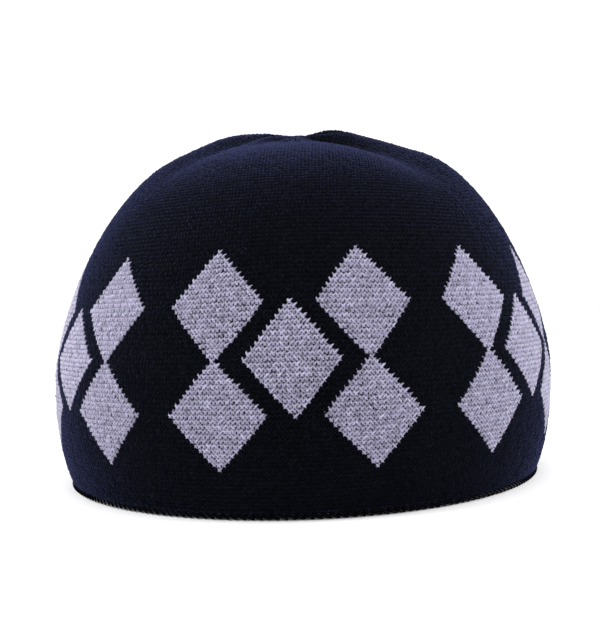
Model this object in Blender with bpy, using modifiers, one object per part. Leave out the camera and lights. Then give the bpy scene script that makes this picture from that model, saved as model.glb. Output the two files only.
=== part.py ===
"""A knitted prayer cap: one knitted wall drawn up to a four-gored crown, and the chained edge along its rim.

Metres, +Z up. The origin is the middle of the rim, on the surface that the cap stands on, and the front is -Y.
A place on the wall is given by its turn and its rise. The turn is 0 at the front and 0.25 at +X, and grows by
equal lengths along the knitted rows. The rise is the share of the way up the wall, 0 at the rim and 1 at the
crown's middle.
"""

import math

import bmesh
import bpy
import numpy as np

# Driving dimensions
HALF_WIDTH = 0.083          # outside, side to side, where the cap is widest
LENGTH_RATIO = 1.202        # front to back over side to side, as on a head
DOME_HEIGHT = 0.1122        # of the plain dome, before the crown's folds
WIDEST_HEIGHT = 0.0357      # where the half-width is HALF_WIDTH
RIM_SHARE = 0.935           # the rim's half-width over HALF_WIDTH
WALL = 0.0022               # the double knit's thickness
EDGING_HEIGHT = 0.0014
EDGING_ROUND = 0.0004
PIECE_GAP = 0.0003
LEAN = 0.016                # how far the cap leans to +X for its height
KNIT_START = -0.0051        # turn of the knitting's middle column and of its front gore

# Outline of the plain dome
TUCK_POWER = 2.85           # how late the wall draws in below its widest height
SIDE_POWER = 1.367          # how long the sides stay upright
CROWN_POWER = 3.262         # how flat the top is

# Gores and seams of the crown. Each row gives a line up the crown: its name, its turn in eighths of the knitting,
# and its height over the plain dome in millimetres at each spread, the share of the half-width from the middle.
SPREADS = (0.00, 0.15, 0.30, 0.45, 0.60, 0.75, 0.90)
CROWN_LINES = (
    # name, eighths, millimetres at each spread
    ("front_gore", 0, (2.5, -0.6, -2.2, -2.4, -1.5, -0.4, 0.0)),
    ("front_right_seam", 1, (2.5, -0.8, -3.6, -5.3, -5.6, -2.0, 0.0)),
    ("right_gore", 2, (2.5, 3.8, 1.1, -0.4, 0.6, 0.3, 0.0)),
    ("back_right_seam", 3, (2.5, -0.6, -3.4, -4.8, -4.6, -1.4, 0.0)),
    ("back_gore", 4, (2.5, 1.4, -0.3, -1.0, -0.8, -0.2, 0.0)),
    ("back_left_seam", 5, (2.5, -0.5, -3.2, -4.6, -4.8, -1.2, 0.0)),
    ("left_gore", 6, (2.5, 3.8, 3.6, 1.6, 1.2, 0.2, 0.0)),
    ("front_left_seam", 7, (2.5, -0.4, -3.3, -4.6, -4.1, -0.8, 0.0)),
)
GORE_FULLNESS = 2.6         # how flat a gore stays before it turns down to its seam

# Small gathers where the crown is drawn together
GATHERS = 16
GATHER_DEPTH = 0.0005
GATHER_RADIUS = 0.010
GATHER_WIDTH = 0.006

# Facets
COLUMNS = 80
ROWS = 30
SEAM_CROWDING = 0.5         # columns stand closer at the seams
CROWN_CROWDING = 1.3        # rows stand closer at the crown's middle
HALF_ROW = 0.5 / ROWS       # of the unit sphere that the wall is drawn from
SMOOTH_ANGLE = 50.0         # degrees, above which an edge is sharp

MILLIMETRE = 0.001
TABLE_STEPS = 4000


def length_table(across, along):
    """Returns the share of the whole length at each point of a line."""
    steps = np.hypot(np.diff(across), np.diff(along))
    length = np.concatenate([[0.0], np.cumsum(steps)])
    return length / length[-1]


def oval_table():
    """Returns turns and the angles at which an oval of LENGTH_RATIO reaches them."""
    angle = np.linspace(0.0, 2.0 * np.pi, TABLE_STEPS)
    return length_table(np.sin(angle), LENGTH_RATIO * np.cos(angle)), angle


def dome_table(lowest):
    """Returns rises, and the plain dome's half-width and height at them, from the height lowest up."""
    low_height = np.linspace(lowest, WIDEST_HEIGHT, TABLE_STEPS)
    drop = (WIDEST_HEIGHT - low_height) / WIDEST_HEIGHT
    low_width = HALF_WIDTH * (1.0 - (1.0 - RIM_SHARE) * drop ** TUCK_POWER)
    angle = np.linspace(0.0, np.pi / 2.0, TABLE_STEPS)[1:]
    climb = np.sin(angle) ** (2.0 / SIDE_POWER)
    high_height = WIDEST_HEIGHT + (DOME_HEIGHT - WIDEST_HEIGHT) * climb
    high_width = HALF_WIDTH * np.clip(np.cos(angle), 0.0, 1.0) ** (2.0 / CROWN_POWER)
    width = np.concatenate([low_width, high_width])
    height = np.concatenate([low_height, high_height])
    return length_table(width, height), width, height


OVAL = oval_table()
WALL_BOTTOM = EDGING_HEIGHT + PIECE_GAP
DOME = dome_table(WALL_BOTTOM)


def oval_point(turn, half_width, height):
    """Returns the X and Y of a point on the oval of this half-width at this height."""
    angle = np.interp(turn % 1.0, OVAL[0], OVAL[1])
    across = half_width * math.sin(angle) + LEAN * (height - WIDEST_HEIGHT)
    return across, -LENGTH_RATIO * half_width * math.cos(angle)


def smooth_value(place, places, values):
    """Returns the value at a place on a smooth line through evenly spaced values."""
    step = places[1] - places[0]
    last = len(values) - 1
    along = min(max((place - places[0]) / step, 0.0), last)
    left = min(int(along), last - 1)
    part = along - left
    start, end = values[left], values[left + 1]
    start_slope = (end - values[max(left - 1, 0)]) / 2.0
    end_slope = (values[min(left + 2, last)] - start) / 2.0
    square, cube = part ** 2, part ** 3
    return (
        start * (2.0 * cube - 3.0 * square + 1.0)
        + start_slope * (cube - 2.0 * square + part)
        + end * (3.0 * square - 2.0 * cube)
        + end_slope * (cube - square)
    )


def fold_height(turn, spread):
    """Returns how far the crown's gores and seams stand over the plain dome."""
    eighths = ((turn - KNIT_START) % 1.0) * 8.0
    before = int(eighths) % 8
    after = (before + 1) % 8
    gore, seam = (before, after) if before % 2 == 0 else (after, before)
    from_gore = eighths - int(eighths)
    if before % 2:
        from_gore = 1.0 - from_gore
    gore_height = smooth_value(spread, SPREADS, CROWN_LINES[gore][2])
    seam_height = smooth_value(spread, SPREADS, CROWN_LINES[seam][2])
    full = 1.0 - from_gore ** GORE_FULLNESS
    return (seam_height + (gore_height - seam_height) * full) * MILLIMETRE


def wall_point(turn, rise):
    """Returns the point of the knitted wall's outside at this turn and rise."""
    half_width = float(np.interp(rise, DOME[0], DOME[1]))
    height = float(np.interp(rise, DOME[0], DOME[2]))
    x, y = oval_point(turn, half_width, height)
    return x, y, height + fold_height(turn, half_width / HALF_WIDTH)


def gather_depth(turn, half_width):
    """Returns how deep the small gathers round the crown's middle are pressed in."""
    near = math.exp(-(((half_width - GATHER_RADIUS) / GATHER_WIDTH) ** 2))
    wave = 0.5 + 0.5 * math.cos(2.0 * math.pi * GATHERS * (turn - KNIT_START))
    return GATHER_DEPTH * near * wave


def crowded_turn(share):
    """Returns the turn of a column, with the columns closer together at the seams."""
    return share + KNIT_START + SEAM_CROWDING * math.sin(8.0 * math.pi * share) / (8.0 * math.pi)


def crowded_rise(share):
    """Returns the rise of a row, with the rows closer together at the crown's middle."""
    return 1.0 - (1.0 - share) ** CROWN_CROWDING


def place_on_sphere(point):
    """Returns the shares round and up at which a point of the unit sphere lies."""
    around = math.atan2(point.x, -point.y) / (2.0 * math.pi)
    return around, math.asin(min(max(point.z, 0.0), 1.0)) / (math.pi / 2.0)


def new_object(name, bm, collection):
    """Links a new object made from a bmesh to the collection."""
    mesh = bpy.data.meshes.new(name)
    bm.to_mesh(mesh)
    bm.free()
    obj = bpy.data.objects.new(name, mesh)
    collection.objects.link(obj)
    return obj


def add_thickness(obj):
    """Gives an open surface the wall's thickness, on its inner side."""
    solidify = obj.modifiers.new("wall_thickness", "SOLIDIFY")
    solidify.thickness = WALL
    solidify.offset = -1.0
    solidify.use_even_offset = True
    solidify.use_rim = True


def apply_modifiers(obj):
    """Replaces an object's mesh by its evaluated one and drops its modifiers."""
    graph = bpy.context.evaluated_depsgraph_get()
    mesh = bpy.data.meshes.new_from_object(obj.evaluated_get(graph))
    old = obj.data
    obj.modifiers.clear()
    obj.data = mesh
    bpy.data.meshes.remove(old)
    mesh.name = obj.name


def knit_material(name, colour, roughness):
    """Returns a plain yarn material."""
    material = bpy.data.materials.new(name)
    material.use_nodes = True
    shader = material.node_tree.nodes["Principled BSDF"]
    shader.inputs["Base Color"].default_value = (*colour, 1.0)
    shader.inputs["Roughness"].default_value = roughness
    shader.inputs["Metallic"].default_value = 0.0
    material.diffuse_color = (*colour, 1.0)
    return material


def make_knit_wall(collection):
    """Makes the body and crown, knitted in one: half a sphere drawn to the cap's shape, and thickened inwards."""
    bm = bmesh.new()
    bmesh.ops.create_uvsphere(bm, u_segments=COLUMNS, v_segments=2 * ROWS, radius=1.0)
    below = [vert for vert in bm.verts if vert.co.z < -HALF_ROW]
    bmesh.ops.delete(bm, geom=below, context="VERTS")
    gathers = []
    for vert in bm.verts:
        around, up = place_on_sphere(vert.co)
        turn, rise = crowded_turn(around), crowded_rise(up)
        vert.co = wall_point(turn, rise)
        gathers.append(gather_depth(turn, float(np.interp(rise, DOME[0], DOME[1]))))
    obj = new_object("knit_wall", bm, collection)
    add_thickness(obj)
    apply_modifiers(obj)

    # The outside has the first vertices. The gathers are pressed into it, and the wall's lower edge is made level.
    for vert, depth in zip(obj.data.vertices, gathers):
        vert.co.z -= depth
    for vert in obj.data.vertices:
        if vert.co.z < WALL_BOTTOM + WALL / 2.0:
            vert.co.z = WALL_BOTTOM
    obj.data.shade_smooth()
    obj.data.set_sharp_from_angle(angle=math.radians(SMOOTH_ANGLE))
    obj.data.materials.append(knit_material("navy_knit", (0.010, 0.012, 0.026), 0.85))
    return obj


def make_rim_edging(collection):
    """Makes the chained edge: an upright band along the rim, thickened inwards, with rounded edges."""
    bm = bmesh.new()
    bmesh.ops.create_cone(bm, cap_ends=False, segments=COLUMNS, radius1=1.0, radius2=1.0, depth=1.0)
    rim_width = float(DOME[1][0])
    for vert in bm.verts:
        around = math.atan2(vert.co.x, -vert.co.y) / (2.0 * math.pi)
        x, y = oval_point(crowded_turn(around), rim_width, 0.0)
        vert.co = (x, y, EDGING_HEIGHT if vert.co.z > 0.0 else 0.0)
    obj = new_object("rim_edging", bm, collection)
    add_thickness(obj)
    bevel = obj.modifiers.new("rounded_edges", "BEVEL")
    bevel.width = EDGING_ROUND
    bevel.segments = 1
    bevel.limit_method = "ANGLE"
    bevel.angle_limit = math.radians(60.0)
    obj.data.shade_smooth()
    obj.data.set_sharp_from_angle(angle=math.radians(SMOOTH_ANGLE))
    obj.data.materials.append(knit_material("navy_chain_yarn", (0.008, 0.009, 0.018), 0.80))
    return obj


def main():
    for obj in list(bpy.data.objects):
        bpy.data.objects.remove(obj, do_unlink=True)
    collection = bpy.data.collections.new("prayer_cap")
    bpy.context.scene.collection.children.link(collection)
    make_knit_wall(collection)
    make_rim_edging(collection)


main()
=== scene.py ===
"""Dresses the knitted prayer cap with its stitches, its inner layer and its chained rim.

Metres, +Z up, the front at -Y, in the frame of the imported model. A place on the cap is given by its turn
and its climb. The turn is 0 at the front and 0.25 at +X, and grows by equal lengths round the cap. The
climb is the way up the wall from the floor, in metres. The knitting is counted in wales, which run up the
cap, and in courses, which run round it.
"""

import math

import bpy
import numpy as np
from mathutils import Matrix, Vector


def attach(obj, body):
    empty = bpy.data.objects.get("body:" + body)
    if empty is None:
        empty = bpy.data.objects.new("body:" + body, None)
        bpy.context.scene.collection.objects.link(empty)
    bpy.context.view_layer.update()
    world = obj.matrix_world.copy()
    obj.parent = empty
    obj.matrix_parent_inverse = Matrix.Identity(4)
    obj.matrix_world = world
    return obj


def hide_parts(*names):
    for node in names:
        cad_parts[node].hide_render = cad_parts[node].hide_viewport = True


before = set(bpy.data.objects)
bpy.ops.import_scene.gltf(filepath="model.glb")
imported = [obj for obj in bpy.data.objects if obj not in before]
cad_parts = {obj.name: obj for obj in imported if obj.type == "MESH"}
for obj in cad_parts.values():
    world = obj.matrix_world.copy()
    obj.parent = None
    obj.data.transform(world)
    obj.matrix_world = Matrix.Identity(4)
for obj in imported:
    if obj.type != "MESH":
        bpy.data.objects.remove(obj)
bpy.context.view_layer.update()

MILLIMETRE = 0.001
FULL_TURN = 2.0 * math.pi

# The plain dome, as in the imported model
HALF_WIDTH = 0.083          # outside, side to side, where the cap is widest
LENGTH_RATIO = 1.202        # front to back over side to side
DOME_HEIGHT = 0.1122        # before the crown's folds
WIDEST_HEIGHT = 0.0357      # where the half-width is HALF_WIDTH
RIM_SHARE = 0.935           # the rim's half-width over HALF_WIDTH
TUCK_POWER = 2.85           # how late the wall draws in below its widest height
SIDE_POWER = 1.367          # how long the sides stay upright
CROWN_POWER = 3.262         # how flat the top is
LEAN = 0.016                # how far the cap leans to +X for its height
WALL = 0.0022               # the double knit's thickness
KNIT_START = -0.0051        # turn of the knitting's middle wale, which is also its front gore's middle
TABLE_STEPS = 4000          # points of the tables that turns and climbs are read from

# The crown's gores and seams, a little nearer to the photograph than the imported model's. Each row is a line
# up the crown, in order round the cap, with its height over the plain dome at each spread. The spread is
# the share of the half-width from the crown's middle.
SPREAD_STEP = 0.15
CROWN_LINES = (
    # name, millimetres at each spread
    ("front_gore", (2.4, -1.1, -3.0, -3.3, -2.4, -0.8, 0.0)),
    ("front_right_seam", (2.4, -2.2, -4.8, -5.5, -4.6, -1.4, 0.0)),
    ("right_gore", (2.4, 3.8, 1.1, -0.4, 0.6, 0.3, 0.0)),
    ("back_right_seam", (2.4, -0.6, -3.4, -4.8, -4.6, -1.4, 0.0)),
    ("back_gore", (2.4, 1.4, -0.3, -1.0, -0.8, -0.2, 0.0)),
    ("back_left_seam", (2.4, -0.5, -3.2, -4.6, -4.8, -1.2, 0.0)),
    ("left_gore", (2.4, 3.4, 3.0, 1.0, 0.7, 0.0, 0.0)),
    ("front_left_seam", (2.4, 1.4, -1.9, -3.2, -2.8, -0.8, 0.0)),
)
LINE_STEPS = 400            # of the smooth curve along each crown line
GORE_FULLNESS = 2.3         # how flat a gore stays before it turns down to its seam

# Small gathers where the crown is drawn together
GATHERS = 22
GATHER_DEPTH = 0.0008
GATHER_RADIUS = 0.010       # half-width at which they are deepest
GATHER_WIDTH = 0.007

# Steps over which the surface's normal is measured, and the least length that it is measured from
NORMAL_TURN = 0.0006
NORMAL_CLIMB = 0.0004
NORMAL_LEAST = 1e-12

# The knitting
GORES = 4
GORE_WALES = 119
WALES = GORES * GORE_WALES
LOW_TIP_CLIMB = 0.0147      # of the lowest diamonds' lower tips, from which the courses are counted
COURSE_PITCH = 0.001251     # there
COURSE_GROWTH = 0.0000040   # how much taller than the one below each course is, up to the highest tips
LOW_COURSES = 10            # below the lowest diamonds' tips
STACK_COURSES = 44          # from the lowest tips to the highest
CROWN_WALE = 0.00104        # least width of a wale, below which wales end at the seams
SEAM_REACH = 0.25           # share of a wale by which a gore's last wale may reach past its seam
SHEAR = -0.082              # turns per metre of height: the wales lean a little
SHOULDER = (0.080, 0.096)   # climbs between which the lean and the drift of the wales fade out
WHOLE_DRIFT = -0.15         # wales to the right by which the whole knitting is drawn
WALE_DRIFTS = (
    # wales to the right, the wale where it is most, breadth in wales
    (4.3, 82.0, 24.0),
    (-4.3, -82.0, 24.0),
    (-0.5, 11.0, 5.0),
    (0.5, -11.0, 5.0),
    (-0.5, 23.0, 10.0),
    (-3.0, 95.0, 16.0),
    (-1.6, -92.0, 14.0),
)
COURSE_RISES = (
    # metres upwards, the wale and the course where it is most, breadth in wales and in courses
    (0.00105, 0.0, 38.0, 22.0, 17.0),
    (0.00150, 92.0, 44.0, 15.0, 16.0),
)

# Diamonds, charted in wales and courses
HALF_DIAMOND = 11
TIP_COURSES = 11            # between one row of diamond middles and the next
SINGLE_COURSE = 2 * TIP_COURSES     # of the single diamonds' middles
PAIR_COURSES = (TIP_COURSES, 3 * TIP_COURSES)
REPEAT = 68                 # wales from one single diamond to the next
PAIR_OFFSET = 18            # wales from a single diamond to the pair beside it

# A stitch is two crossing legs of yarn. A lift is a height over the knitting's outer surface, and each
# yarn's own lift comes on top of the stitch's.
STITCH = (
    # station, across in wales, up in courses, lift of the crest in millimetres, half-width in millimetres
    (
        ("right_foot", -0.40, -0.66, 0.00, 0.00),
        ("right_calf", 0.00, -0.28, 0.22, 0.46),
        ("right_knee", 0.40, 0.08, 0.24, 0.46),
        ("right_tip", 1.02, 0.42, 0.04, 0.00),
    ),
    (
        ("left_foot", 0.50, -0.78, 0.00, 0.00),
        ("left_calf", 0.00, -0.24, 0.16, 0.52),
        ("left_knee", -0.34, 0.16, 0.15, 0.50),
        ("left_tip", -0.42, 0.62, -0.30, 0.00),
    ),
)
EDGE_LIFT = -0.35           # millimetres, of the yarn's edges, which lie near the backing
CELL = (1.19, 1.34)         # millimetres, a usual wale and course
NAVY_LIFT = -0.22           # millimetres, of the navy stitches
LAVENDER_LIFT = -0.10       # millimetres, of the lavender ones, whose yarn is a little fuller
ALTERNATE_LIFT = 0.045      # millimetres by which every other stitch stands higher
ALTERNATE_SWELL = 0.06      # share by which it is larger

# Chance differences between stitches
NUDGE = 0.055               # wales or courses by which a stitch lies off its place
SWELL = 0.07                # share by which stitches differ in size
LIFT_NUDGE = 0.05           # millimetres by which they differ in height
TILT = 0.12                 # millimetres by which a stitch rises from one wale or course to the next
GORE_SEED = 11              # of the front gore, with the next numbers for the others
DIAMOND_SEED = 29
CHAIN_SEED = 5

# The inner layer of the double knitting
BACKING_COLUMNS = 205
BACKING_ROWS = 96
BACKING_LIFT = -0.52        # millimetres
BACKING_BOTTOM = 0.0012     # climb of its lower edge

# The chained edge of the rim
CHAIN_LINKS = WALES // 2
CHAIN_STATIONS = 14         # round a loop
CHAIN_SIDES = 5             # round its yarn
CHAIN_PITCH = 2.38          # millimetres
CHAIN_YARN = 0.28           # millimetres, half the yarn's thickness
LOOP_LENGTH = 0.56          # links, half a loop's length along the rim
LOOP_HEIGHT = 0.42          # millimetres, half its height
LOOP_CLIMB = 0.82           # millimetres, of its middle
LOOP_LIFT = -0.20           # millimetres, of its middle
LOOP_SLANT = 0.55           # millimetres by which its leading end stands further out than its middle
LOOP_DROP = 0.30            # millimetres by which that end lies lower

# Margins on the maps. On the map for baking each stitch and each loop has a small square.
SIDE_MARGIN = 0.1           # beside a leg of yarn in its half of a stitch's square
END_MARGIN = 0.06           # above and below it
RING_RADIUS = 0.4           # of a loop in its square
RING_BREADTH = 0.2          # of its yarn, over the ring's radius
PAGE_MARGIN = 0.005         # round each face of the backing
LOOP_MARGIN = 0.1           # before and after a loop along the yarn's map
LOOP_BREADTH = 0.35         # half of what a loop's yarn takes up across the yarn's map

# Patterns of the yarn
PATCHES = (42.0, 2.0)       # scale per metre and detail of a noise
MOTTLE = (520.0, 3.0)
FUZZ = (2600.0, 2.0)
PLY_TWIST = (4.5, 1.4, 1.0)     # scale of the plies' bands along and across the yarn
PLY_WAVE = {"Scale": 1.0, "Distortion": 1.2, "Detail": 1.0}
STRAY_FUZZ = (0.62, 0.78)   # fuzz above which stray fibres start to show, and at which they show most
STRAY_SHARE = 0.6           # of the flecks' colour in the yarn's where they show most
SIDE_PAINTED_SHADE = (0.96, 1.0)   # painted shade: how much darker the yarn is painted beside its neighbours, where shade falls between them, and how suddenly
END_PAINTED_SHADE = (0.70, 3.0)    # the same painted shade at its ends, which darkens the rows between courses

# How much each pattern adds to the level that a yarn's colour is multiplied by, and to its relief
# The plies' bands also darken the yarn's colour in the grooves between plies: painted shade there, beside
# their real relief.
YARN_LEVEL = {"patches": 0.2, "mottle": 0.4, "fuzz": 0.8, "ply": 0.3, "shade": 0.15}
YARN_LEVEL_START = 0.03
YARN_RELIEF = {"ply": 0.7, "fuzz": 0.5}
YARN_RELIEF_DEPTH = 0.00008     # metres
# The purl rows also darken the inner layer's colour between their bumps: painted shade there, beside their
# real relief.
INNER_LEVEL = {"mottle": 0.8, "fuzz": 0.6, "purl": 0.35}
INNER_LEVEL_START = 0.1
INNER_RELIEF = {"purl": 1.0, "fuzz": 0.3}
INNER_RELIEF_DEPTH = 0.0002     # metres
RELIEF_STRENGTH = 0.6

# Colours and gloss
NAVY = (0.0030, 0.0038, 0.0058)
NAVY_FLECK = (0.030, 0.032, 0.055)
NAVY_SHEEN = ((0.31, 0.36, 0.97), 0.30, 0.30)           # tint, weight and roughness
# The chain's yarn is the knitting's navy painted darker: painted shade for the shade that the rim lies in.
SHADED_CHAIN_NAVY = (0.0012, 0.0013, 0.0018)
SHADED_CHAIN_FLECK = (0.007, 0.007, 0.009)
CHAIN_SHEEN = ((0.31, 0.36, 0.97), 0.05, 0.30)
LAVENDER = (0.405, 0.383, 0.535)
LAVENDER_FLECK = (0.62, 0.60, 0.72)
LAVENDER_SHEEN = ((0.9, 0.9, 1.0), 0.60, 0.38)
YARN_ROUGHNESS = 0.95
YARN_SPECULAR = 0.03

# The camera. Its place is in metres, and the pixels are the photograph's.
CAMERA_PLACE = (-0.00057, -0.37928, 0.0569)
CAMERA_PITCH = math.radians(0.7366)     # how far it looks down
CAMERA_ROLL = math.radians(-1.995)      # about its line of sight
CAMERA_REACH = (0.01, 20.0)             # nearest and farthest distance that it sees
FOCAL_PIXELS = 1091.83
PHOTO_HEIGHT = 626
AXIS_PIXELS = (-0.5545, 3.7696)         # its line of sight, right of and below the photograph's middle
SENSOR = 36.0                           # millimetres

# The studio
FLOOR_RADIUS = 6.0
FLOOR_SIDES = 96
FLOOR_HEIGHT = -0.0002      # just clear of the yarn that touches the ground
FLOOR_COLOUR = (0.86, 0.86, 0.87)
FLOOR_ROUGHNESS = 0.9
WORLD_STRENGTH = 1.15
WHITE = (1.0, 1.0, 1.0, 1.0)
CAP_MIDDLE = (0.0, 0.0, 0.05)
LIGHTS = (
    # name, place, size, watts
    ("top_light", (0.0, 0.15, 1.1), (1.2, 0.9), 3.0),
    ("left_light", (-0.95, -0.15, 0.80), (0.8, 0.8), 12.0),
    ("right_light", (0.95, -0.15, 0.80), (0.8, 0.8), 11.0),
)


# The cap's form

def running_length(across, along):
    """Returns the length along a line at each of its points."""
    steps = np.hypot(np.diff(across), np.diff(along))
    return np.concatenate([[0.0], np.cumsum(steps)])


def oval_table():
    """Returns turns, the angles at which an oval reaches them, and its length for a half-width of 1."""
    angle = np.linspace(0.0, FULL_TURN, TABLE_STEPS)
    length = running_length(np.sin(angle), LENGTH_RATIO * np.cos(angle))
    return length / length[-1], angle, float(length[-1])


def dome_table():
    """Returns climbs from the floor up, and the plain dome's half-width and height at them."""
    low_height = np.linspace(0.0, WIDEST_HEIGHT, TABLE_STEPS)
    drop = (WIDEST_HEIGHT - low_height) / WIDEST_HEIGHT
    low_width = HALF_WIDTH * (1.0 - (1.0 - RIM_SHARE) * drop ** TUCK_POWER)
    angle = np.linspace(0.0, np.pi / 2.0, TABLE_STEPS)[1:]
    rise = np.sin(angle) ** (2.0 / SIDE_POWER)
    high_height = WIDEST_HEIGHT + (DOME_HEIGHT - WIDEST_HEIGHT) * rise
    high_width = HALF_WIDTH * np.clip(np.cos(angle), 0.0, 1.0) ** (2.0 / CROWN_POWER)
    width = np.concatenate([low_width, high_width])
    height = np.concatenate([low_height, high_height])
    return running_length(width, height), width, height


def smooth_curve(values):
    """Returns a smooth curve through values a SPREAD_STEP apart, at LINE_STEPS steps of the spread."""
    slopes = np.empty_like(values)
    slopes[1:-1] = (values[2:] - values[:-2]) / 2.0
    slopes[0] = (values[1] - values[0]) / 2.0
    slopes[-1] = (values[-1] - values[-2]) / 2.0
    spread = np.linspace(0.0, 1.0, LINE_STEPS + 1)
    along = np.clip(spread / SPREAD_STEP, 0.0, len(values) - 1)
    left = np.minimum(along.astype(int), len(values) - 2)
    part = along - left
    square, cube = part ** 2, part ** 3
    return (
        values[left] * (2.0 * cube - 3.0 * square + 1.0)
        + slopes[left] * (cube - 2.0 * square + part)
        + values[left + 1] * (3.0 * square - 2.0 * cube)
        + slopes[left + 1] * (cube - square)
    )


OVAL_TURN, OVAL_ANGLE, OVAL_LENGTH = oval_table()
DOME_CLIMB, DOME_WIDTH, DOME_Z = dome_table()
LINE_HEIGHT = np.array([smooth_curve(np.array(values)) for _, values in CROWN_LINES]) * MILLIMETRE
TOP_CLIMB = float(DOME_CLIMB[-1])


def dome_place(climb):
    """Returns the plain dome's half-width and height at a climb."""
    return np.interp(climb, DOME_CLIMB, DOME_WIDTH), np.interp(climb, DOME_CLIMB, DOME_Z)


def line_height(line, spread):
    """Returns how far a crown line stands over the plain dome at a spread."""
    column = spread * LINE_STEPS
    left = np.clip(column.astype(int), 0, LINE_STEPS - 1)
    part = np.clip(column - left, 0.0, 1.0)
    return LINE_HEIGHT[line, left] * (1.0 - part) + LINE_HEIGHT[line, left + 1] * part


def crown_folds(turn, spread):
    """Returns how far the crown stands over the plain dome between its gores' middles and its seams."""
    lines = len(CROWN_LINES)
    place = ((turn - KNIT_START) % 1.0) * lines
    before = np.minimum(place.astype(int), lines - 1)
    after = (before + 1) % lines
    from_gore = place - before
    on_gore = before % 2 == 0
    from_gore = np.where(on_gore, from_gore, 1.0 - from_gore)
    gore_height = line_height(np.where(on_gore, before, after), spread)
    seam_height = line_height(np.where(on_gore, after, before), spread)
    share = np.sin(np.pi / 2.0 * from_gore ** GORE_FULLNESS) ** 2
    return gore_height + (seam_height - gore_height) * share


def gather_depth(turn, width):
    """Returns how deep the small gathers round the crown's middle are."""
    near = np.exp(-(((width - GATHER_RADIUS) / GATHER_WIDTH) ** 2))
    wave = 0.5 + 0.5 * np.cos(FULL_TURN * GATHERS * (turn - KNIT_START))
    return GATHER_DEPTH * near * wave


def cap_point(turn, climb):
    """Returns points of the knitting's outer surface."""
    width, height = dome_place(climb)
    angle = np.interp(turn % 1.0, OVAL_TURN, OVAL_ANGLE)
    x = width * np.sin(angle) + LEAN * (height - WIDEST_HEIGHT)
    y = -LENGTH_RATIO * width * np.cos(angle)
    folds = crown_folds(turn, width / HALF_WIDTH) - gather_depth(turn, width)
    return np.stack([x, y, height + folds], -1)


def cap_surface(turn, climb, lift):
    """Returns points that stand off the knitting's outer surface by the lift, along its normals."""
    round_it = cap_point(turn + NORMAL_TURN, climb) - cap_point(turn - NORMAL_TURN, climb)
    up_it = cap_point(turn, climb + NORMAL_CLIMB) - cap_point(turn, climb - NORMAL_CLIMB)
    normal = np.cross(round_it, up_it)
    size = np.linalg.norm(normal, axis=-1, keepdims=True)
    upright = (0.0, 0.0, 1.0)
    normal = np.where(size > NORMAL_LEAST, normal / np.maximum(size, NORMAL_LEAST), upright)
    return cap_point(turn, climb) + normal * np.asarray(lift)[..., None]


# The knitting's layout

def course_climb(course):
    """Returns the climb of a course, counted from the lowest diamonds' tips."""
    even = np.minimum(course, STACK_COURSES)
    low = LOW_TIP_CLIMB + COURSE_PITCH * even + COURSE_GROWTH / 2.0 * even ** 2
    top_pitch = COURSE_PITCH + COURSE_GROWTH * STACK_COURSES
    return low + top_pitch * (course - even)


SINGLE_HEIGHT = float(dome_place(course_climb(SINGLE_COURSE))[1])


def front_count(gore, wale):
    """Returns a wale's count from the front's middle, from minus to plus half of all wales."""
    return (gore * GORE_WALES + wale + WALES / 2.0) % WALES - WALES / 2.0


def wale_drift(wale):
    """Returns how many wales a wale is drawn to the right, counted from the front's middle."""
    drift = WHOLE_DRIFT
    for size, middle, breadth in WALE_DRIFTS:
        drift = drift + size * np.exp(-(((wale - middle) / breadth) ** 2))
    return drift


def course_rise(wale, course):
    """Returns how much higher than elsewhere a course lies at a wale counted from the front's middle."""
    rise = 0.0
    for size, middle_wale, middle_course, wales, courses in COURSE_RISES:
        aside = (wale - middle_wale) / wales
        above = (course - middle_course) / courses
        rise = rise + size * np.exp(-(aside ** 2) - above ** 2)
    return rise


def wale_pitch(climb):
    """Returns the turn from one wale to the next. It grows in the crown, where wales keep a least width."""
    width, _ = dome_place(climb)
    round_length = np.maximum(width * OVAL_LENGTH, CROWN_WALE)
    return np.maximum(1.0 / WALES, CROWN_WALE / round_length)


def wale_turn(gore, wale, climb):
    """Returns the turn of a wale that is counted from its gore's middle."""
    _, height = dome_place(climb)
    low, high = SHOULDER
    fade = np.clip((high - climb) / (high - low), 0.0, 1.0)
    fade = fade * fade * (3.0 - 2.0 * fade)
    aside = wale_drift(front_count(gore, wale)) / WALES + SHEAR * (height - SINGLE_HEIGHT)
    return KNIT_START + gore / GORES + wale * wale_pitch(climb) + aside * fade


def in_diamond(wale, course):
    """Says which stitches are lavender, by their wale from the front's middle and their course."""
    place = (wale + REPEAT // 2) % REPEAT - REPEAT // 2
    light = np.abs(place) + np.abs(course - SINGLE_COURSE) <= HALF_DIAMOND
    for side in (-PAIR_OFFSET, PAIR_OFFSET):
        for middle in PAIR_COURSES:
            light |= np.abs(place - side) + np.abs(course - middle) <= HALF_DIAMOND
    return light


def stitch_sites():
    """Returns every stitch's gore, wale from the gore's middle, and course."""
    sites = []
    wales = np.arange(GORE_WALES) - GORE_WALES // 2
    course = -LOW_COURSES
    while course_climb(course) <= TOP_CLIMB - COURSE_PITCH / 2.0:
        pitch = wale_pitch(course_climb(course))
        # A wale ends where it meets the seam between its gore and the next
        kept = wales[np.abs(wales) * pitch < 0.5 / GORES + SEAM_REACH * pitch]
        for gore in range(GORES):
            sites.append(np.stack([np.full(len(kept), gore), kept, np.full(len(kept), course)], -1))
        course += 1
    return np.concatenate(sites)


# Making meshes

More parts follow.
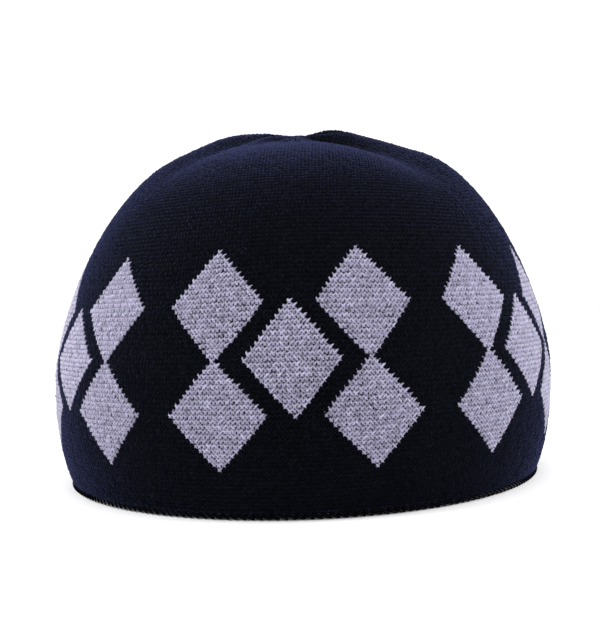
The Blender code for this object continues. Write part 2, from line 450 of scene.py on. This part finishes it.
def mesh_object(name, points, blocks):
    """Makes a smooth object from its points and from blocks of faces with equally many corners."""
    mesh = bpy.data.meshes.new(name)
    corners = np.concatenate([block.ravel() for block in blocks])
    counts = np.concatenate([np.full(len(block), block.shape[1]) for block in blocks])
    starts = np.concatenate([[0], np.cumsum(counts)[:-1]])
    mesh.vertices.add(len(points))
    mesh.vertices.foreach_set("co", np.asarray(points, np.float32).ravel())
    mesh.loops.add(len(corners))
    mesh.loops.foreach_set("vertex_index", corners.astype(np.int32))
    mesh.polygons.add(len(counts))
    mesh.polygons.foreach_set("loop_start", starts.astype(np.int32))
    mesh.update(calc_edges=True)
    mesh.polygons.foreach_set("use_smooth", np.full(len(counts), True))
    obj = bpy.data.objects.new(name, mesh)
    bpy.context.scene.collection.objects.link(obj)
    return obj


def grid_faces(rows, columns):
    """Returns the faces of a grid of vertices."""
    row, column = (grid.ravel() for grid in np.indices((rows - 1, columns - 1)))
    low = row * columns + column
    return np.stack([low, low + 1, low + columns + 1, low + columns], -1)


def ring_faces(stations, sides):
    """Returns the faces of a closed ring of vertices."""
    station, side = (grid.ravel() for grid in np.indices((stations, sides)))
    row = station * sides
    next_row = (station + 1) % stations * sides
    next_side = (side + 1) % sides
    return np.stack([row + side, next_row + side, next_row + next_side, row + next_side], -1)


def repeat_faces(faces, size, count):
    """Returns blocks with the faces of many copies of a shape, which has size vertices."""
    starts = (np.arange(count) * size)[:, None, None]
    blocks = []
    for corners in sorted({len(face) for face in faces}):
        block = np.array([face for face in faces if len(face) == corners])
        blocks.append((starts + block[None]).reshape(-1, corners))
    return blocks


def within(share, margin):
    """Returns a share of the whole as a place that keeps a margin from both ends."""
    return margin + (1.0 - 2.0 * margin) * share


def add_map(obj, name, places):
    """Adds a UV map from one place for each vertex."""
    layer = obj.data.uv_layers.new(name=name)
    index = np.empty(len(obj.data.loops), np.int32)
    obj.data.loops.foreach_get("vertex_index", index)
    layer.data.foreach_set("uv", np.asarray(places, np.float32)[index].ravel())


def add_square_map(obj, count, inside):
    """Adds the map for baking of many copies of a shape, whose vertices have places in a unit square."""
    squares = math.ceil(math.sqrt(count))
    order = np.arange(count)
    corner = np.stack([order % squares, order // squares], -1)[:, None, :]
    add_map(obj, "OFBake", ((corner + inside[None]) / squares).reshape(-1, 2))


def add_value(obj, name, values):
    """Adds a number for each vertex, which the material reads."""
    attribute = obj.data.attributes.new(name, "FLOAT", "POINT")
    attribute.data.foreach_set("value", np.asarray(values, np.float32))


def add_shades(obj, rng, count, size):
    """Adds a chance shade for each of an object's lengths of yarn, which have size vertices each."""
    add_value(obj, "shade", np.repeat(rng.normal(0.0, 1.0, count), size))


# Stitches

def leg_path(leg):
    """Returns the middle line of a leg of yarn in millimetres, and the directions across it."""
    path = np.array([station[1:3] for station in leg]) * CELL
    tangent = np.gradient(path, axis=0)
    tangent /= np.linalg.norm(tangent, axis=1, keepdims=True)
    return path, np.stack([-tangent[:, 1], tangent[:, 0]], -1)


def station_faces(before, now):
    """Returns the faces between two stations of a leg. Beside a tip they have three corners."""
    quads = [(before[left + 1], before[left], now[left], now[left + 1]) for left in (0, 1)]
    return [tuple(dict.fromkeys(quad)) for quad in quads]


def stitch_shape():
    """Returns a stitch's vertices (across, up, lift), their places on the yarn's map, and its faces."""
    points, yarn, faces = [], [], []
    for number, leg in enumerate(STITCH):
        path, aside = leg_path(leg)
        before = None
        for index, (_, _, _, crest, half) in enumerate(leg):
            first = len(points)
            rows = [(0.0, crest)]
            if half > 0.0:
                rows = [(-1.0, EDGE_LIFT), (0.0, crest), (1.0, EDGE_LIFT)]
            for side, lift in rows:
                points.append((*((path[index] + aside[index] * half * side) / CELL), lift))
                yarn.append((number + index / (len(leg) - 1), 0.5 + side / 2.0))
            now = (first, first + len(rows) // 2, len(points) - 1)
            if before is not None:
                faces.extend(station_faces(before, now))
            before = now
    return np.array(points), np.array(yarn), faces


def stitch_points(sites, shape, rng, yarn_lift):
    """Returns the vertices of all stitches, each with small chance differences."""
    count = len(sites)
    gore, wale, course = (column.astype(float)[:, None] for column in sites.T)
    shape_across, shape_up, shape_lift = shape.T
    nudge = rng.normal(0.0, NUDGE, (count, 1, 2))
    other = ((front_count(gore, wale) + course) % 2.0 - 0.5) * 2.0
    swell = 1.0 + rng.normal(0.0, SWELL, (count, 1)) + ALTERNATE_SWELL / 2.0 * other
    across = wale + shape_across * swell + nudge[..., 0]
    up = course + shape_up * swell + nudge[..., 1]
    lift_nudge = rng.normal(0.0, LIFT_NUDGE, (count, 1))
    lift = yarn_lift + shape_lift + lift_nudge + ALTERNATE_LIFT / 2.0 * other
    tilt = rng.normal(0.0, TILT, (2, count, 1))
    lift = lift + tilt[0] * shape_across + tilt[1] * shape_up
    climb = course_climb(up) + course_rise(front_count(gore, wale), course)
    climb = np.minimum(climb, TOP_CLIMB)
    turn = wale_turn(gore, across, climb)
    return cap_surface(turn, climb, lift * MILLIMETRE).reshape(-1, 3)


def make_stitches(name, sites, seed, yarn_lift):
    """Makes one piece of knitting from its stitches."""
    rng = np.random.default_rng(seed)
    shape, yarn, faces = stitch_shape()
    count, size, legs = len(sites), len(shape), len(STITCH)
    points = stitch_points(sites, shape, rng, yarn_lift)
    obj = mesh_object(name, points, repeat_faces(faces, size, count))
    leg = np.repeat(np.arange(legs), size // legs)
    across = (leg + within(yarn[:, 1], SIDE_MARGIN)) / legs
    along = within(yarn[:, 0] - leg, END_MARGIN)
    add_square_map(obj, count, np.stack([across, along], -1))
    add_map(obj, "yarn", np.tile(yarn, (count, 1)))
    add_shades(obj, rng, count * legs, size // legs)
    return obj


# Backing and rim

def make_backing():
    """Makes the inner layer of the double knitting, which shows between the stitches and inside the cap."""
    shares = np.linspace(0.0, 1.0, BACKING_ROWS)
    turns = np.linspace(0.0, 1.0, BACKING_COLUMNS)
    share, turn = (grid.ravel() for grid in np.meshgrid(shares, turns, indexing="ij"))
    climb = BACKING_BOTTOM + (TOP_CLIMB - BACKING_BOTTOM) * share
    layer = len(turn)
    outside = cap_surface(turn, climb, np.full(layer, BACKING_LIFT * MILLIMETRE))
    inside = cap_surface(turn, climb, np.full(layer, -WALL))
    faces = grid_faces(BACKING_ROWS, BACKING_COLUMNS)
    column = np.arange(BACKING_COLUMNS - 1)
    lower_edge = np.stack([column + 1, column, column + layer, column + layer + 1], -1)
    faces = np.concatenate([faces, faces[:, ::-1] + layer, lower_edge])
    obj = mesh_object("knit_backing", np.concatenate([outside, inside]), [faces])

    page = (1.0 - 2.0 * PAGE_MARGIN) / 2.0
    along = within(turn, PAGE_MARGIN)
    up = PAGE_MARGIN + (page - 2.0 * PAGE_MARGIN) * share
    outer_page = np.stack([along, up], -1)
    inner_page = np.stack([along, up + page], -1)
    add_map(obj, "OFBake", np.concatenate([outer_page, inner_page]))
    chart = np.stack([turn * WALES, (climb - LOW_TIP_CLIMB) / COURSE_PITCH], -1)
    add_map(obj, "chart", np.concatenate([chart, chart]))
    add_value(obj, "inner", np.repeat([0.0, 1.0], layer))
    return obj


def loop_points(phase, angle):
    """Returns every loop's vertices, from their angles round the loop and round its yarn."""
    link = np.arange(CHAIN_LINKS)[:, None]
    swollen = CHAIN_YARN * np.cos(angle)
    along = link + 0.5 + LOOP_LENGTH * np.cos(phase) + swollen * np.cos(phase) / CHAIN_PITCH
    climb = LOOP_CLIMB + (LOOP_HEIGHT + swollen) * np.sin(phase) - LOOP_DROP * np.cos(phase)
    lift = LOOP_LIFT + LOOP_SLANT * np.cos(phase) + CHAIN_YARN * np.sin(angle)
    turn = KNIT_START + along / CHAIN_LINKS
    points = cap_surface(turn, climb * MILLIMETRE, lift * MILLIMETRE).reshape(-1, 3)
    # No yarn reaches below what the cap stands on
    points[:, 2] = np.maximum(points[:, 2], 0.0)
    return points


def make_chain():
    """Makes the chained edge: a row of yarn loops, each drawn through the one before."""
    station, side = (grid.ravel() for grid in np.indices((CHAIN_STATIONS, CHAIN_SIDES)))
    phase = FULL_TURN * station / CHAIN_STATIONS
    angle = FULL_TURN * side / CHAIN_SIDES
    size = len(station)
    faces = ring_faces(CHAIN_STATIONS, CHAIN_SIDES)
    obj = mesh_object("rim_chain", loop_points(phase, angle), repeat_faces(faces, size, CHAIN_LINKS))
    radius = RING_RADIUS * (1.0 + RING_BREADTH * np.cos(angle))
    inside = 0.5 + np.stack([radius * np.cos(phase), radius * np.sin(phase)], -1)
    add_square_map(obj, CHAIN_LINKS, inside)
    along = within(station / CHAIN_STATIONS, LOOP_MARGIN)
    yarn = np.stack([along, 0.5 + LOOP_BREADTH * np.cos(angle)], -1)
    add_map(obj, "yarn", np.tile(yarn, (CHAIN_LINKS, 1)))
    add_shades(obj, np.random.default_rng(CHAIN_SEED), CHAIN_LINKS, size)
    return obj


# Shader nodes

def add_node(tree, kind, inputs=(), **settings):
    """Adds a shader node. Each input's name or number goes with a value or with another node's output."""
    node = tree.nodes.new(kind)
    for name, value in settings.items():
        setattr(node, name, value)
    for key, value in dict(inputs).items():
        if isinstance(value, bpy.types.NodeSocket):
            tree.links.new(value, node.inputs[key])
        else:
            node.inputs[key].default_value = value
    return node


def add_math(tree, operation, *values):
    """Returns the output of a sum on values or on other nodes' outputs."""
    return add_node(tree, "ShaderNodeMath", dict(enumerate(values)), operation=operation).outputs[0]


def add_weighted(tree, patterns, weights, start=0.0):
    """Returns the output of start plus the sum of each named pattern times its weight."""
    total = start
    for name, weight in weights.items():
        total = add_math(tree, "MULTIPLY_ADD", patterns[name], weight, total)
    return total


def add_noise(tree, place, scale, detail):
    """Returns the output of a noise over the place."""
    inputs = {"Vector": place, "Scale": scale, "Detail": detail}
    return add_node(tree, "ShaderNodeTexNoise", inputs).outputs["Fac"]


def add_attribute(tree, name):
    """Returns the output of a number that the mesh has for each vertex."""
    return add_node(tree, "ShaderNodeAttribute", attribute_name=name).outputs["Fac"]


def add_painted_shade(tree, place, depth, power):
    """Returns 1 in the middle of the yarn's length or breadth, and less towards both of its ends, for painted
    shade there.
    """
    across = add_math(tree, "FRACT", place)
    away = add_math(tree, "ABSOLUTE", add_math(tree, "MULTIPLY_ADD", across, 2.0, -1.0))
    return add_math(tree, "MULTIPLY_ADD", add_math(tree, "POWER", away, power), -depth, 1.0)


def add_scaled(tree, colour, level):
    """Returns the output of a colour times a level."""
    return add_node(tree, "ShaderNodeVectorMath", {0: colour, "Scale": level}, operation="SCALE").outputs[0]


def add_mix(tree, share, colour, other):
    """Returns the output of a colour that gives way to another one by its share."""
    # The sockets that a mix of colours uses, by number because others have the same names
    factor, first, second, result = 0, 6, 7, 2
    inputs = {factor: share, first: colour, second: other}
    return add_node(tree, "ShaderNodeMix", inputs, data_type="RGBA").outputs[result]


# Materials

def new_yarn(name, sheen):
    """Returns a new material and its shader, with a yarn's gloss and sheen."""
    material = bpy.data.materials.new(name)
    material.use_nodes = True
    shader = material.node_tree.nodes["Principled BSDF"]
    shader.inputs["Roughness"].default_value = YARN_ROUGHNESS
    shader.inputs["Specular IOR Level"].default_value = YARN_SPECULAR
    tint, weight, roughness = sheen
    shader.inputs["Sheen Weight"].default_value = weight
    shader.inputs["Sheen Roughness"].default_value = roughness
    shader.inputs["Sheen Tint"].default_value = (*tint, 1.0)
    return material, shader


def finish_yarn(tree, shader, colour, height, depth):
    """Joins a yarn's colour and its fine relief to its shader."""
    tree.links.new(colour, shader.inputs["Base Color"])
    inputs = {"Height": height, "Strength": RELIEF_STRENGTH, "Distance": depth}
    bump = add_node(tree, "ShaderNodeBump", inputs).outputs[0]
    tree.links.new(bump, shader.inputs["Normal"])


def yarn_patterns(tree, strand):
    """Returns the outputs of the patterns of a knitting yarn."""
    place = add_node(tree, "ShaderNodeTexCoord").outputs["Object"]
    twist = add_node(tree, "ShaderNodeMapping", {"Vector": strand, "Scale": PLY_TWIST}).outputs["Vector"]
    ply = add_node(tree, "ShaderNodeTexWave", {"Vector": twist, **PLY_WAVE}, bands_direction="DIAGONAL")
    return {
        "patches": add_noise(tree, place, *PATCHES),
        "mottle": add_noise(tree, place, *MOTTLE),
        "fuzz": add_noise(tree, place, *FUZZ),
        "ply": ply.outputs["Fac"],
        "shade": add_attribute(tree, "shade"),
    }


def yarn_material(name, colour, fleck, sheen):
    """Returns a knitting yarn: plies, fuzz, stray fibres, painted shade in its creases, and shades from
    stitch to stitch.
    """
    material, shader = new_yarn(name, sheen)
    tree = material.node_tree
    strand = add_node(tree, "ShaderNodeUVMap", uv_map="yarn").outputs["UV"]
    patterns = yarn_patterns(tree, strand)
    along, across = add_node(tree, "ShaderNodeSeparateXYZ", {0: strand}).outputs[:2]
    level = add_weighted(tree, patterns, YARN_LEVEL, YARN_LEVEL_START)
    # Painted shade: the colour darkens towards the yarn's edges and ends, where it dips between its
    # neighbours and between courses.
    level = add_math(tree, "MULTIPLY", level, add_painted_shade(tree, across, *SIDE_PAINTED_SHADE))
    level = add_math(tree, "MULTIPLY", level, add_painted_shade(tree, along, *END_PAINTED_SHADE))
    fuzz_range = {"From Min": STRAY_FUZZ[0], "From Max": STRAY_FUZZ[1], "To Max": STRAY_SHARE}
    strays = add_node(tree, "ShaderNodeMapRange", {"Value": patterns["fuzz"], **fuzz_range}).outputs[0]
    mixed = add_mix(tree, strays, add_scaled(tree, colour, level), (*fleck, 1.0))
    finish_yarn(tree, shader, mixed, add_weighted(tree, patterns, YARN_RELIEF), YARN_RELIEF_DEPTH)
    return material


def inner_patterns(tree, wale, course):
    """Returns the outputs of the inner layer's patterns, with a wavy row of purl bumps for each course."""
    place = add_node(tree, "ShaderNodeTexCoord").outputs["Object"]
    swing = add_math(tree, "SINE", add_math(tree, "MULTIPLY", wale, FULL_TURN))
    return {
        "mottle": add_noise(tree, place, *MOTTLE),
        "fuzz": add_noise(tree, place, *FUZZ),
        "purl": add_math(tree, "SINE", add_math(tree, "MULTIPLY_ADD", course, FULL_TURN, swing)),
    }


def carried_share(tree, chart, course):
    """Returns where the pattern yarn shows inside the cap: at every other stitch behind the diamonds."""
    checks = add_node(tree, "ShaderNodeTexChecker", {"Vector": chart, "Scale": 1.0}).outputs["Fac"]
    above = add_math(tree, "GREATER_THAN", course, 0.0)
    below = add_math(tree, "LESS_THAN", course, float(STACK_COURSES))
    share = add_math(tree, "MULTIPLY", add_math(tree, "MULTIPLY", checks, above), below)
    return add_math(tree, "MULTIPLY", share, add_attribute(tree, "inner"))


def backing_material(name, colour, pattern, sheen):
    """Returns the double knitting's inner layer: purl bumps, and flecks of the pattern yarn."""
    material, shader = new_yarn(name, sheen)
    tree = material.node_tree
    chart = add_node(tree, "ShaderNodeUVMap", uv_map="chart").outputs["UV"]
    wale, course = add_node(tree, "ShaderNodeSeparateXYZ", {0: chart}).outputs[:2]
    patterns = inner_patterns(tree, wale, course)
    level = add_weighted(tree, patterns, INNER_LEVEL, INNER_LEVEL_START)
    plain = add_scaled(tree, colour, level)
    light = add_scaled(tree, pattern, level)
    mixed = add_mix(tree, carried_share(tree, chart, course), plain, light)
    finish_yarn(tree, shader, mixed, add_weighted(tree, patterns, INNER_RELIEF), INNER_RELIEF_DEPTH)
    return material


def plain_material(name, colour, roughness):
    """Returns a plain matt material."""
    material = bpy.data.materials.new(name)
    material.use_nodes = True
    shader = material.node_tree.nodes["Principled BSDF"]
    shader.inputs["Base Color"].default_value = (*colour, 1.0)
    shader.inputs["Roughness"].default_value = roughness
    return material


# The cap

def hand_over(obj, material, node):
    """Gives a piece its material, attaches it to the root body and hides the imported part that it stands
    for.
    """
    obj.data.materials.append(material)
    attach(obj, "root")
    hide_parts(node)


def make_cap():
    """Makes the cap's pieces."""
    navy = yarn_material("navy_yarn", NAVY, NAVY_FLECK, NAVY_SHEEN)
    lavender = yarn_material("lavender_yarn", LAVENDER, LAVENDER_FLECK, LAVENDER_SHEEN)
    # The chain's darker colour is painted shade along the rim.
    chain = yarn_material("shaded_chain_yarn", SHADED_CHAIN_NAVY, SHADED_CHAIN_FLECK, CHAIN_SHEEN)
    inner = backing_material("inner_layer", NAVY, LAVENDER, NAVY_SHEEN)
    sites = stitch_sites()
    gore, wale, course = sites.T
    light = in_diamond(gore * GORE_WALES + wale, course)
    for number, side in enumerate(("front", "right", "back", "left")):
        mine = sites[~light & (gore == number)]
        knit = make_stitches(side + "_knit", mine, GORE_SEED + number, NAVY_LIFT)
        hand_over(knit, navy, "knit_wall")
    diamonds = make_stitches("diamonds", sites[light], DIAMOND_SEED, LAVENDER_LIFT)
    hand_over(diamonds, lavender, "knit_wall")
    hand_over(make_backing(), inner, "knit_wall")
    hand_over(make_chain(), chain, "rim_edging")


# Camera, floor and light

def add_camera():
    """Places the camera as the photograph was taken."""
    data = bpy.data.cameras.new("camera")
    data.sensor_width = SENSOR
    data.lens = FOCAL_PIXELS * SENSOR / PHOTO_HEIGHT
    data.shift_x = -AXIS_PIXELS[0] / PHOTO_HEIGHT
    data.shift_y = AXIS_PIXELS[1] / PHOTO_HEIGHT
    data.clip_start, data.clip_end = CAMERA_REACH
    camera = bpy.data.objects.new("camera", data)
    bpy.context.scene.collection.objects.link(camera)
    tilt = Matrix.Rotation(math.pi / 2.0 - CAMERA_PITCH, 4, "X")
    roll = Matrix.Rotation(CAMERA_ROLL, 4, "Z")
    camera.matrix_world = Matrix.Translation(CAMERA_PLACE) @ tilt @ roll
    bpy.context.scene.camera = camera


def add_soft_light(name, place, size, power):
    """Adds a large soft white light that looks at the cap."""
    data = bpy.data.lights.new(name, "AREA")
    data.shape = "RECTANGLE"
    data.size, data.size_y = size
    data.energy = power
    light = bpy.data.objects.new(name, data)
    bpy.context.scene.collection.objects.link(light)
    forward = Vector(CAP_MIDDLE) - Vector(place)
    turned = forward.to_track_quat("-Z", "Y").to_matrix().to_4x4()
    light.matrix_world = Matrix.Translation(place) @ turned


def add_floor():
    """Adds the plain pale floor, which isn't part of the cap."""
    bpy.ops.mesh.primitive_circle_add(
        vertices=FLOOR_SIDES, radius=FLOOR_RADIUS, fill_type="NGON", location=(0.0, 0.0, FLOOR_HEIGHT)
    )
    floor = bpy.context.object
    floor.name = "floor"
    floor.data.materials.append(plain_material("floor", FLOOR_COLOUR, FLOOR_ROUGHNESS))


def add_studio():
    """Adds the floor, the bright surroundings and the soft lights."""
    add_floor()
    world = bpy.data.worlds.new("world")
    bpy.context.scene.world = world
    world.use_nodes = True
    background = world.node_tree.nodes["Background"]
    background.inputs["Color"].default_value = WHITE
    background.inputs["Strength"].default_value = WORLD_STRENGTH
    for name, place, size, power in LIGHTS:
        add_soft_light(name, place, size, power)
    bpy.context.scene.view_settings.view_transform = "Standard"


make_cap()
add_studio()
add_camera()
